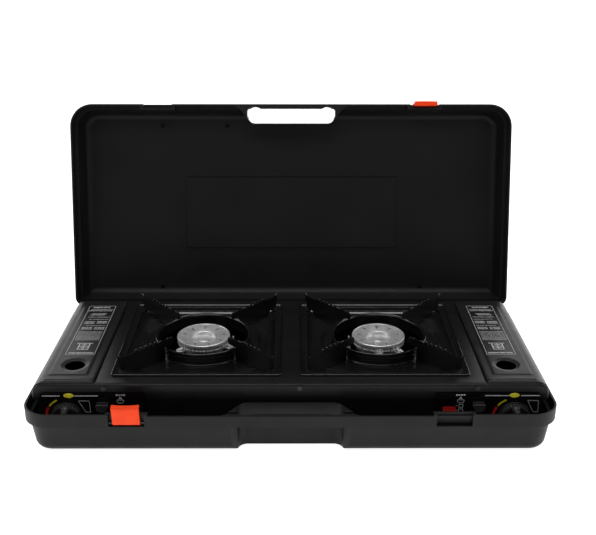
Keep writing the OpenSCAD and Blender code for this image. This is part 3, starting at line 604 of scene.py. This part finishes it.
def cover_stations(front, rear):
    """Places along the cover, closer together at the front beads and round the hole."""
    stations = [front + 0.9, front + 1.6]
    y = front + 2.4
    while y < rear - 2.4:
        stations.append(y)
        near_hole = abs(y - HOLE[1]) < 20
        near_front = y < front + 20
        y += 0.6 if near_front else 1.4 if near_hole else 4.0
    return stations + [rear - 2.4, rear - 0.9]


def make_cover(name, side):
    """A pressed sheet with a rounded outer shoulder, turned-down ends and a finger hole."""
    low, high = box_mm("right_cover")
    front, rear = low[1], high[1]
    section = cover_section()

    def turned_down(y, drop, inset):
        ring = []
        for x, z, nx, _ in section:
            floor = COVER_TOP - 9 if x < SHOULDER[0] else SHOULDER[1] - 4
            height = max(z - drop, floor) if drop < 5 else min(z, floor)
            ring.append((x - nx * inset, y, height))
        return ring

    rings = [turned_down(front, 9, 0.6), turned_down(front, 1.2, 0.2), turned_down(front + 0.3, 0.45, 0)]
    for y in cover_stations(front, rear):
        rings.append([(x, y, z + (cover_emboss(x, y) if nz == 1 else 0)) for x, z, _, nz in section])
    rings += [turned_down(rear - 0.3, 0.45, 0), turned_down(rear, 1.2, 0.2), turned_down(rear, 9, 0.6)]
    shape = Shape().loft(rings, close=False)
    hole = Shape().prism(arc(HOLE, HOLE_R, 0, 354, 59), flat, 60, 95)
    piece(name, shape.mirrored(side), COVER_ENAMEL, BODY[name], replaces=[name], sheet=1.2,
          cutters=[cutter(hole.mirrored(side))], sharp=50)
    # the hole's rolled edge
    roll = arc((HOLE_R + 0.3, COVER_TOP - 1.5), 1.0, 0, 360, 12)
    edge = Shape().revolve(roll, (HOLE[0], HOLE[1], 0), steps=72)
    piece(name + "_hole_edge", edge.mirrored(side), COVER_ENAMEL, BODY[name])
    make_label(name + "_label", side)


LABEL_LOW = (254.6, -42.0)
LABEL_HIGH = (292.6, 110.5)
LABEL_LINE = 0.55
MARK_X = 273.6
STROKE = 0.9
STROKE_PITCH = 1.5


def make_label(name, side):
    """A generic printed panel: a frame, lines of plain strokes, pairs of marks and a block."""
    z = COVER_TOP + FIELD_H
    shape = Shape()

    def bar(x0, y0, x1, y1):
        shape.prism([(x0, y0), (x1, y0), (x1, y1), (x0, y1)], flat, z - 0.2, z + 0.12)

    (x0, y0), (x1, y1) = LABEL_LOW, LABEL_HIGH
    bar(x0, y0, x0 + LABEL_LINE, y1)
    bar(x1 - LABEL_LINE, y0, x1, y1)
    bar(x0, y0, x1, y0 + LABEL_LINE)
    bar(x0, y1 - LABEL_LINE, x1, y1)

    def row(y, height, widths, gap=0.9, start=3.0):
        """Groups of short strokes, one group for each width."""
        x = x0 + start
        for width in widths:
            end = min(x + width, x1 - 2.4)
            while x < end:
                bar(x, y, x + STROKE, y + height)
                x += STROKE_PITCH
            x = end + gap

    # the heading, two close lines and two centred ones
    row(103, 4.2, [3, 2.4, 3, 2.6, 3.2, 2.2, 2.6], gap=0.8, start=8)
    for k, y in enumerate((96.5, 92.6)):
        row(y, 2.0, [4.2 + (k * 3 + j * 5) % 4 for j in range(5)])
    for y, start in ((82, 9), (78.2, 11)):
        row(y, 2.6, [3.6, 2.2, 4.4, 2.2, 3.6], start=start)
    row(71.6, 1.7, [5.5, 4.6, 5.6, 4.6, 5.4])
    # two blocks of marks side by side, with a line over each block
    row(64.5, 1.4, [4.4, 5.6, 3.6, 5.6, 4.4])
    for y in (52, 56.4):
        row(y, 2.8, [3.2, 4.6, 3.2], gap=1.0)
        row(y - 0.8, 2.8, [3.2, 4.6, 3.2], gap=1.0, start=20)
    row(44.4, 1.4, [4.4, 5.6, 3.6, 5.6, 4.4])
    for y in (33, 37.2):
        row(y, 2.7, [3.6, 4.0, 3.4], gap=1.0)
        row(y, 2.7, [4.2, 3.6, 3.6], gap=1.0, start=20)
    # a block of close lines, a large mark of crossed bars and the bottom line
    for k in range(8):
        row(25 - k * 3.5, 1.2, [3.2 + (k * 2 + j * 3) % 4 for j in range(6)], gap=0.8)
    for k, width in enumerate((21, 8, 13, 9, 15)):
        bar(MARK_X - width / 2, -10 - 4.4 * k, MARK_X + width / 2, -8.6 - 4.4 * k)
    for x in (-7.5, -0.8, 5.9):
        bar(MARK_X + x, -28, MARK_X + x + 1.6, -9)
    row(-38.6, 3.4, [6.4, 7.2, 7.4, 8.2], gap=0.8, start=2.6)
    piece(name, shape.mirrored(side), WHITE_INK, BODY[name.replace("_label", "")], sharp=20)


# ---------------------------------------------------------------- deck

STOVE_HALF = 317.5
STOVE_CORNER = 14.0
DECK_HALF = 240.0
DECK_SHEET = 1.2
DECK_SKIRT = 66.0
EDGE_LIP = 6.0
EDGE_ROLL = 2.6
EDGE_INNER = 10.0
EDGE_END = 60.0
EDGE_STEPS = 24
PAN_OPENING = 97.0


def edge_section(front):
    """The rolled front edge cut through: how far inside the stove's outline, and the place along Y."""
    roll = [(EDGE_ROLL - EDGE_ROLL * math.sin(math.radians(a)),
             front + EDGE_ROLL - EDGE_ROLL * math.cos(math.radians(a))) for a in range(15, 91, 15)]
    return ([(EDGE_INNER, front), (EDGE_ROLL + 0.4, front)] + roll
            + [(0, front + EDGE_LIP), (DECK_SHEET, front + EDGE_LIP), (DECK_SHEET, front + EDGE_ROLL + 0.4),
               (1.8, front + 1.6), (2.6, front + DECK_SHEET), (EDGE_INNER, front + DECK_SHEET)])


def edge_path():
    """The stove's outline from low on the right over the top to low on the left, with its normals."""
    centre_x, centre_z = STOVE_HALF - STOVE_CORNER, DECK_TOP - STOVE_CORNER
    rise = [((STOVE_HALF, EDGE_END), (1, 0)), ((STOVE_HALF, centre_z - 3), (1, 0))]
    for a in range(0, 91, 9):
        c, s = math.cos(math.radians(a)), math.sin(math.radians(a))
        rise.append(((centre_x + STOVE_CORNER * c, centre_z + STOVE_CORNER * s), (c, s)))
    top = [((centre_x - 2 * centre_x * k / EDGE_STEPS, DECK_TOP), (0, 1)) for k in range(1, EDGE_STEPS)]
    fall = [((-x, z), (-nx, nz)) for (x, z), (nx, nz) in rise[::-1]]
    return rise + top + fall


def make_deck():
    """The top sheet with its two pan openings, its rolled front edge and its rear flange."""
    low, high = box_mm("stove_deck")
    front, rear = low[1], high[1]
    section = edge_section(front)
    rings = [[(x - nx * n, y, z - nz * n) for n, y in section] for (x, z), (nx, nz) in edge_path()]
    edge = Shape().loft(rings, cap=(True, True))
    inner, under = DECK_HALF - DECK_SHEET, DECK_TOP - DECK_SHEET
    shoulder = [(DECK_HALF, DECK_SKIRT), (DECK_HALF, 79.2), (DECK_HALF - 0.25, 79.8),
                (DECK_HALF - 0.9, DECK_TOP)]
    outline = ([(-x, z) for x, z in shoulder] + shoulder[::-1]
               + [(inner, DECK_SKIRT), (inner, under), (-inner, under), (-inner, DECK_SKIRT)])
    top = Shape().prism(outline, from_front, front + EDGE_LIP - 0.05, rear)
    holes = []
    for side in SIDES.values():
        ring = [(x * side, y) for x, y, _ in square_ring(BURNER, PAN_OPENING, 15, 0)]
        holes.append(cutter(Shape().prism(ring, flat, 70, 90)))
    piece("stove_deck_top", top, ENAMEL, BODY["stove_deck"], replaces=["stove_deck"],
          cutters=holes, sharp=30)
    piece("stove_deck_edge", edge, ENAMEL, BODY["stove_deck"], sharp=40)
    back = Shape().prism([(-DECK_HALF, 56), (DECK_HALF, 56), (DECK_HALF, DECK_TOP), (-DECK_HALF, DECK_TOP)],
                         from_front, rear - 1.3, rear - 0.1)
    piece("stove_deck_back", back, ENAMEL, BODY["stove_deck"], bevel=0.3)


# ---------------------------------------------------------------- fascias, knobs and levers

KNOB = (276.0, 36.0)
FASCIA_FACE = -116.8
LEVER_X = 231.0
INK = 0.18
INK_UNDER = -0.1
DIAL_R = 25.6
LINE_Z = 29.4
LINE_GAP = 6.6
# how far the line over the knob runs from the knob's axis, and where its oval sits; these aren't mirrored
LINE_REACH = {1: (-37.5, 29.5), -1: (-28.4, 40.0)}
OVAL_X = {1: -1.5, -1: 4.0}
RED_SIGN = (195.6, 46)


def print_place(u, v, w):
    """A print's outline on the fascia's face; w runs forwards."""
    return (u, FASCIA_FACE - w, v)


def stroke(shape, points, width):
    """Adds a printed line of one width along the points."""
    for (ax, az), (bx, bz) in zip(points, points[1:]):
        length = math.hypot(bx - ax, bz - az)
        nx, nz = -(bz - az) / length * width / 2, (bx - ax) / length * width / 2
        corners = [(ax - nx, az - nz), (bx - nx, bz - nz), (bx + nx, bz + nz), (ax + nx, az + nz)]
        shape.prism(corners, print_place, INK_UNDER, INK)


def make_prints(label, side):
    """Plain marks on the fascia: a dial arc and its end mark, a line, a wedge and a scale."""
    body = BODY[f"{label}_fascia"]

    def near_knob(points):
        return [(side * KNOB[0] + x, KNOB[1] + z) for x, z in points]

    def inboard(points):
        return [(side * x, z) for x, z in points]

    white = Shape()
    start, end = LINE_REACH[side]
    stroke(white, near_knob([(start, LINE_Z), (-LINE_GAP, LINE_Z)]), 1.3)
    stroke(white, near_knob([(LINE_GAP, LINE_Z), (end, LINE_Z)]), 1.3)
    # a narrowing wedge shows the flame's size
    wedge = [(15.4, 22.6), (28.8, 22.2), (29.4, 6.6), (23.4, 6.6), (15.4, 22.6)]
    stroke(white, near_knob(wedge), 0.8)
    # four squares, an arrow and a cup over the lever's scale
    for k in range(4):
        x = LEVER_X - 28.2 + 3.1 * k
        square = [(x, 65.4), (x + 2.1, 65.4), (x + 2.1, 67.4), (x, 67.4)]
        white.prism(inboard(square), print_place, INK_UNDER, INK)
    white.prism(inboard([(208.9, 64.2), (211.4, 61.0), (206.4, 61.0)]), print_place, INK_UNDER, INK)
    cup = [(205, 59.6), (213, 59.6), (213, 57.0), (211.4, 55.4), (206.6, 55.4), (205, 57.0), (205, 59.6)]
    stroke(white, inboard(cup), 0.8)
    if side > 0:
        for z in (53.2, 46.6):
            stroke(white, [(207.2, z), (212.2, z), (212.2, z - 4.2), (207.2, z - 4.2), (207.2, z)], 0.8)
            stroke(white, [(203.6, z - 2), (205.2, z - 2)], 0.8)
    piece(f"{label}_print_white", white, WHITE_INK, body, sharp=20)

    yellow = Shape()
    oval = [(OVAL_X[side] + 6.2 * math.cos(math.radians(a)), 29.9 + 3.2 * math.sin(math.radians(a)))
            for a in range(0, 360, 12)]
    yellow.prism(near_knob(oval), print_place, INK_UNDER, INK + 0.04)
    stroke(yellow, near_knob(arc((0, 0), DIAL_R, 115, 144, 8)), 2.2)
    piece(f"{label}_print_yellow", yellow, YELLOW_INK, body, sharp=20)
    red = Shape()
    stroke(red, near_knob(arc((0, 0), DIAL_R, 149, 172, 6)), 3.2)
    if side > 0:
        sign = [(RED_SIGN[0] + x, RED_SIGN[1] + z) for x, z in rounded_rect((-8, -4), (8, 4), 2)]
        red.prism(sign, print_place, INK_UNDER, INK)
    piece(f"{label}_print_red", red, RED_INK, body, sharp=20)


FLUTES = 30
KNOB_STEPS = 6 * FLUTES
# the knob's body, radius and distance in front of its back: bore, skirt, fluted wall and face
KNOB_SECTION = [(4.05, 0.0), (20.4, 0.0), (21, 0.5), (21, 1.8), (20.5, 2.2), (19.4, 2.3), (19.2, 2.8),
                (19.0, 7.4), (18.5, 8.4), (17.4, 9.0), (14, 9.3), (4.05, 9.3)]
GRIP_R = 4.5
GRIP_REACH = 13.2


def make_knob(name, side):
    """Fluted round body with a skirt, a rounded grip bar and a pointer line."""
    low, high = box_mm("right_knob")
    back, tip = high[1], low[1]

    def flute(angle, radius, z):
        if 15.5 < radius < 19.5 and 2.6 < z < 8.2:
            return radius - 0.45 + 0.45 * math.cos(FLUTES * angle), z
        return radius, z

    # made lying on its back, then stood up against the fascia
    lying = Shape().revolve(KNOB_SECTION, (0, 0, 0), steps=KNOB_STEPS, wave=flute)
    front_ring = (len(KNOB_SECTION) - 1) * KNOB_STEPS
    for j in range(KNOB_STEPS):
        k = (j + 1) % KNOB_STEPS
        lying.faces.append([front_ring + j, front_ring + k, k, j])
    length = back - tip
    outline = arc((0, GRIP_REACH), GRIP_R, 0, 180, 10) + arc((0, -GRIP_REACH), GRIP_R, 180, 360, 10)
    steps = ((8.4, 1.2), (9.6, 0.4), (10.6, 0), (length - 1.6, -0.5), (length - 0.5, -0.9), (length, -2.0))
    rings = []
    for z, grow in steps:
        wide, tall = 1 + grow / GRIP_R, 1 + grow / (GRIP_REACH + GRIP_R)
        rings.append([(x * wide, y * tall, z) for x, y in outline])
    lying.loft(rings, cap=(True, True))
    shape = Shape().add([(KNOB[0] + v.x, back - v.z, KNOB[1] + v.y) for v in lying.verts], lying.faces)
    piece(name, shape.mirrored(side), KNOB_PLASTIC, BODY[name], replaces=[name], sharp=32)
    mark = Shape().prism([(-0.7, 8), (0.7, 8), (0.7, 15.4), (-0.7, 15.4)],
                         lambda u, v, w: (KNOB[0] + u, tip - w, KNOB[1] + v), -0.15, 0.1)
    piece(name + "_pointer", mark.mirrored(side), WHITE_INK, BODY[name])


# ---------------------------------------------------------------- latches and case details

LATCH_X = 197.0
LATCH_HALF = 16.5
LATCH_LOW = 45.4
LATCH_HIGH = 71.2
LATCH_FACE = -150.5
LATCH_T = 3.5
LATCH_COLUMNS = 12
LATCH_PIVOT = (-147.6, 46.0)
LATCH_LEAN = math.radians(6)
HINGE = (155.0, 58.25)
OPEN = math.radians(104.7)


def turned(y, z, pivot, angle):
    """Turns a point of the YZ plane about a pivot, positive lifts +Y towards +Z."""
    c, s = math.cos(angle), math.sin(angle)
    y, z = y - pivot[0], z - pivot[1]
    return pivot[0] + y * c - z * s, pivot[1] + y * s + z * c


def on_lid(x, y, z):
    """A point given on a case half that lies floor down, taken to its place on the open lid."""
    z = 2 * HINGE[1] - z
    y, z = turned(y, z, HINGE, -OPEN)
    return (x, y, z)


def latch_section(crown):
    """The plate and its hook cut through, as (y, z); the crown is 1 in the middle and 0 at the sides."""
    top = LATCH_HIGH - 1.3 * crown
    front = LATCH_FACE - 0.5 * crown
    inner = LATCH_FACE + LATCH_T
    return [(front + 0.5, LATCH_LOW), (front, LATCH_LOW + 0.8), (front, top - 6.4), (front - 0.5, top - 5.6),
            (front - 0.5, top - 0.9), (front + 0.2, top), (inner + 2.1, top), (inner + 2.6, top - 0.6),
            (inner + 2.6, top - 3.2), (inner + 1.9, top - 4.2), (inner, top - 4.3), (inner, LATCH_LOW)]


def latch_shape():
    """A latch snapped shut at the left of the base: saddle-topped plate, hook and barrel."""
    rings = []
    for k in range(LATCH_COLUMNS + 1):
        t = 2 * k / LATCH_COLUMNS - 1
        rings.append([(LATCH_HALF * t - LATCH_X, y, z) for y, z in latch_section(1 - t * t)])
    shape = Shape().loft(rings, cap=(True, True))
    barrel = arc(LATCH_PIVOT, 2.3, 0, 345, 23)
    return shape.prism(barrel, lambda u, v, w: (w, u, v), -LATCH_X - LATCH_HALF, -LATCH_X + LATCH_HALF)


def make_latches():
    """Both latches lean out a little; the lid's is the base's turned over and mirrored."""
    shut = latch_shape()
    base = Shape().add([(v.x, *turned(v.y, v.z, LATCH_PIVOT, LATCH_LEAN)) for v in shut.verts], shut.faces)
    piece("base_latch", base, LATCH, BODY["base_latch"], replaces=["base_latch"],
          bevel=0.35)
    lid = Shape().add([on_lid(-v.x, v.y, v.z) for v in base.verts], base.faces)
    piece("lid_latch", lid, LATCH, BODY["lid_latch"], replaces=["lid_latch"], bevel=0.35)


# height of the lid's floor with the lid lying on its back, its rim level with the base's
BASE_H = 58.0
LID_H = 52.0
WALL = 2.5
LID_FLOOR = BASE_H - LID_H + WALL
FILLET_HALF = 306.0
FIELD_LOW = (-161.5, -42.0)
FIELD_HIGH = (161.5, 66.0)
FIELD_LINE = 1.2
DIMPLES = ((-196.5, -119.8), (-97.8, -119.8), (-201, 129.3), (201, 129.3))


def make_lid_details():
    """The bead by the hinge, the frame round the raised field and small moulding dimples, whose darker
    finish is painted shade.
    """
    bead = arc((141.4, LID_FLOOR + 5.2), 1.5, 0, 324, 9)
    fillet = Shape().prism(bead, lambda u, v, w: on_lid(w, u, v), -FILLET_HALF, FILLET_HALF)
    piece("case_lid_fillet", fillet, GLOSS, BODY["case_lid"], bevel=0.2)
    (x0, y0), (x1, y1) = FIELD_LOW, FIELD_HIGH
    field_top = LID_FLOOR + 2.0
    lines = Shape()
    for ax, ay, bx, by in ((x0, y0, x1, y0 + FIELD_LINE), (x0, y1 - FIELD_LINE, x1, y1),
                           (x0, y0, x0 + FIELD_LINE, y1), (x1 - FIELD_LINE, y0, x1, y1)):
        lines.prism([(ax, ay), (bx, ay), (bx, by), (ax, by)], on_lid, field_top - 0.3, field_top + 0.35)
    piece("case_lid_field_edge", lines, PLASTIC, BODY["case_lid"], bevel=0.3)
    # the dimples get a darker finish than the plastic round them: painted shade of the hollows
    dimples = Shape()
    for place in DIMPLES:
        dimples.prism(arc(place, 3.4, 0, 330, 11), on_lid, LID_FLOOR - 0.4, LID_FLOOR + 0.5)
    piece("case_lid_dimple_shade", dimples, FIN_ENAMEL, BODY["case_lid"], bevel=0.3)


def dress_cad_nodes():
    """Every node gets its slot's material, the screws and pins a black metal one; the case halves and the
    larger sheet parts get softened edges.
    """
    for part in frame["record"]["subparts"]:
        obj = NODES[part["node"]]
        obj.data.materials.clear()
        obj.data.materials.append(FINISH[part["material_slot"]])
    for name in ("panel_screws", "base_latch_pin", "lid_latch_pin"):
        NODES[name].data.materials[0] = SCREW
    for name in ("case_base", "case_lid"):
        add_bevel(NODES[name], 0.8 * MM, segments=3, angle=30)
    for side in SIDES:
        for part in ("fascia", "lock_lever", "regulator", "carriage"):
            add_bevel(NODES[f"{side}_{part}"], 0.7 * MM)
    add_bevel(NODES["body_tray"], 0.5 * MM)
    add_bevel(NODES["front_panel"], 0.4 * MM)


# ---------------------------------------------------------------- light, floor and camera

STAGE_HALF = 9.0
STAGE_BACK = 3.4
STAGE_TOP = 3.2
STAGE_GAP = 0.0004
AIM = (0, 0, 0.1)


def plain_sheet(name, corners, glow):
    """A stage sheet that is bright of itself, so the object stands on a clean pale ground."""
    mesh = bpy.data.meshes.new(name)
    mesh.from_pydata(corners, [], [[0, 1, 2, 3]])
    sheet = bpy.data.objects.new(name, mesh)
    bpy.context.scene.collection.objects.link(sheet)
    paper = material(name + "_paper", grey(0.8), grey(0.84), (0.7, 0.9), patch=2)
    shader = next(node for node in paper.node_tree.nodes if node.type == "BSDF_PRINCIPLED")
    shader.inputs["Emission Color"].default_value = (1, 1, 1, 1)
    shader.inputs["Emission Strength"].default_value = glow
    mesh.materials.append(paper)


def softbox(name, place, size, power):
    """A rectangular area light in watts, turned towards the stove."""
    light = bpy.data.lights.new(name, "AREA")
    light.shape = "RECTANGLE"
    light.size, light.size_y = size
    light.energy = power
    obj = bpy.data.objects.new(name, light)
    obj.location = place
    obj.rotation_euler = (Vector(AIM) - Vector(place)).to_track_quat("-Z", "Y").to_euler()
    bpy.context.scene.collection.objects.link(obj)


def make_stage():
    """A glowing floor and backdrop, a dim surrounding and four soft lights."""
    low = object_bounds()[0][2] - STAGE_GAP
    half, back, top = STAGE_HALF, STAGE_BACK, STAGE_TOP
    floor = [(-half, -half, low), (half, -half, low), (half, back, low), (-half, back, low)]
    wall = [(-half, back, low), (half, back, low), (half, back, top), (-half, back, top)]
    plain_sheet("floor", floor, 0.9)
    plain_sheet("backdrop", wall, 0.95)

    world = bpy.data.worlds.new("studio")
    world.use_nodes = True
    world.node_tree.nodes["Background"].inputs["Color"].default_value = (1.0, 1.0, 1.0, 1)
    world.node_tree.nodes["Background"].inputs["Strength"].default_value = 0.07
    bpy.context.scene.world = world

    softbox("key", (-0.2, -1.5, 2.1), (2.6, 1.2), 13)
    softbox("overhead", (0, 0.2, 1.9), (1.6, 0.35), 15)
    softbox("left_side", (-1.7, 0.1, 0.9), (1.4, 1.0), 8)
    softbox("right_side", (1.7, 0.1, 0.9), (1.4, 1.0), 8)


CAMERA_PLACE = (0.0043, -1.0586, 0.6146)
CAMERA_TURN = math.radians(-0.27)
CAMERA_TILT = math.radians(68.04)
CAMERA_ROLL = math.radians(0.09)


def make_camera():
    """The fitted viewpoint: just right of the middle, looking 22 degrees down."""
    data = bpy.data.cameras.new("camera")
    data.sensor_width = 36.0
    data.lens = 53.18
    data.clip_end = 20
    camera = bpy.data.objects.new("camera", data)
    camera.location = CAMERA_PLACE
    aim = Matrix.Rotation(CAMERA_TURN, 4, "Z") @ Matrix.Rotation(CAMERA_TILT, 4, "X")
    camera.rotation_euler = (aim @ Matrix.Rotation(CAMERA_ROLL, 4, "Z")).to_euler()
    bpy.context.scene.collection.objects.link(camera)
    bpy.context.scene.camera = camera
    bpy.context.scene.view_settings.view_transform = "Standard"


dress_cad_nodes()
for label, side in SIDES.items():
    make_pan(f"{label}_pan", side)
    make_fins(f"{label}_pan_fins", side)
    make_cap(f"{label}_burner_cap", side)
    make_bowl(f"{label}_burner_bowl", side)
    make_cover(f"{label}_cover", side)
    make_prints(label, side)
    make_knob(f"{label}_knob", side)
make_deck()
make_latches()
make_lid_details()
make_stage()
make_camera()
